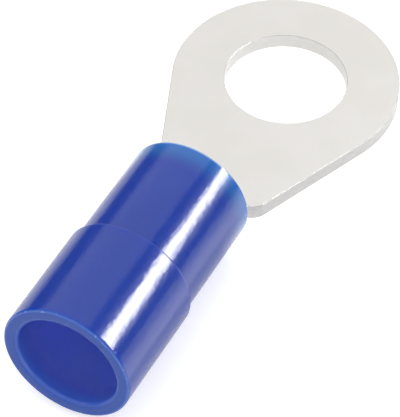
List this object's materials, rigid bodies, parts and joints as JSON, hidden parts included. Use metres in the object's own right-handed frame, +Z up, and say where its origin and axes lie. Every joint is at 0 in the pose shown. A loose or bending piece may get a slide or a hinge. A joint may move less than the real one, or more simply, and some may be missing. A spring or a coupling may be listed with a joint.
{
  "type": "insulated ring terminal",
  "caption": "Crimp ring terminal: flat tinned ring tongue, rolled wire barrel with a butt seam, and a stepped blue insulating sleeve over the barrel.",
  "frame": {"origin": "centre of the stud hole on the underside of the tongue", "axes": "+Z up along the stud hole, +X from the barrel to the ring's tip, so the wire enters from -X"},
  "size_m": [0.0242, 0.0098, 0.0057],
  "materials": {
    "tinned_copper": "matt tin plate over copper sheet",
    "blue_pvc": "glossy, slightly translucent moulded PVC"
  },
  "bodies": {
    "root": {"terminal": "tinned_copper", "sleeve": "blue_pvc"}
  },
  "joints": []
}
